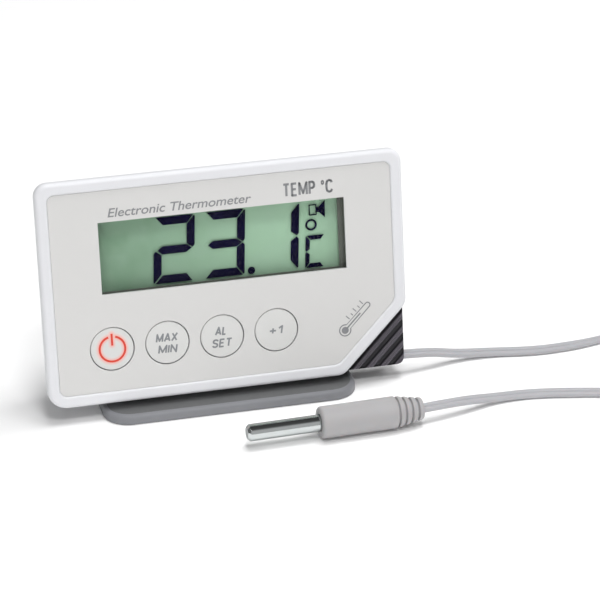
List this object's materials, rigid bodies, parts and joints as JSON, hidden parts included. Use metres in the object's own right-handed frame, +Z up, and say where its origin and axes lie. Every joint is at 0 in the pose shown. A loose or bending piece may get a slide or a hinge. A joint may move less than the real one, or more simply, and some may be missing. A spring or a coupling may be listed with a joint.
{
  "type": "digital probe thermometer",
  "caption": "White rectangular digital thermometer with a green display and round keys, leaning on a grey fold-out stand, with a steel probe on a flat lead.",
  "frame": {"origin": "on the table, at the middle of the underside of the open stand plate", "axes": "+X to the right of a person who faces the display, along the longest side; -Y to the front, the display side; +Z up"},
  "size_m": [0.2242, 0.0653, 0.0715],
  "materials": {
    "housing_white": "satin moulded ABS",
    "label_grey": "printed polyester film, matt",
    "window_clear": "clear polycarbonate",
    "frame_dark": "matt moulded plastic",
    "display_glass": "polished glass",
    "display_green": "satin reflective film",
    "key_grey": "satin moulded plastic",
    "seal_rubber": "matt silicone",
    "board_green": "solder mask on glass fibre board",
    "bright_metal": "nickel plated",
    "capacitor_sleeve": "shrink sleeve",
    "connector_white": "nylon",
    "cell_wrap": "gloss printed wrap",
    "stand_grey": "fine textured plastic",
    "block_black": "satin ribbed rubber",
    "handle_grey": "satin soft plastic",
    "probe_steel": "polished stainless steel",
    "lead_grey": "satin flexible plastic",
    "tie_black": "matt plastic tie"
  },
  "bodies": {
    "housing": {"front_cover": "housing_white", "rear_shell": "housing_white", "battery_hatch": "housing_white", "face_label": "label_grey", "window_lens": "window_clear", "lcd_frame": "frame_dark", "lcd_glass": "display_glass", "lcd_reflector": "display_green", "contact_rubber": "seal_rubber", "key_mat": "seal_rubber", "key_switches": "frame_dark", "circuit_board": "board_green", "controller_chip": "frame_dark", "buzzer": "frame_dark", "crystal_can": "bright_metal", "capacitors": "capacitor_sleeve", "lead_plug": "connector_white", "housing_seal": "seal_rubber", "hatch_seal": "seal_rubber", "housing_screws": "bright_metal", "board_screws": "bright_metal", "hatch_screws": "bright_metal", "battery_cell": "cell_wrap", "battery_contacts": "bright_metal", "hinge_pins": "bright_metal", "corner_block": "block_black", "lead_grommet": "block_black", "probe_handle": "handle_grey", "probe_tube": "probe_steel", "thermistor": "frame_dark", "lead_out": "lead_grey", "lead_return": "lead_grey", "lead_coil": "lead_grey", "coil_tie": "tie_black"},
    "stand": {"stand": "stand_grey"},
    "power_key": {"key_power": "key_grey"},
    "max_min_key": {"key_max_min": "key_grey"},
    "al_set_key": {"key_al_set": "key_grey"},
    "plus_key": {"key_plus": "key_grey"}
  },
  "joints": [
    {"name": "stand_fold", "type": "hinge", "parent": "housing", "child": "stand", "pos_m": [0, -0.00151, 0.01171], "axis": [1, 0, 0], "range_deg": [0, 79.6]},
    {"name": "power_key_press", "type": "slide", "parent": "housing", "child": "power_key", "axis": [0, 0.9836, -0.1805], "range_m": [0, 0.0003], "stiffness_N_per_m": 4000},
    {"name": "max_min_key_press", "type": "slide", "parent": "housing", "child": "max_min_key", "axis": [0, 0.9836, -0.1805], "range_m": [0, 0.0003], "stiffness_N_per_m": 4000},
    {"name": "al_set_key_press", "type": "slide", "parent": "housing", "child": "al_set_key", "axis": [0, 0.9836, -0.1805], "range_m": [0, 0.0003], "stiffness_N_per_m": 4000},
    {"name": "plus_key_press", "type": "slide", "parent": "housing", "child": "plus_key", "axis": [0, 0.9836, -0.1805], "range_m": [0, 0.0003], "stiffness_N_per_m": 4000}
  ]
}
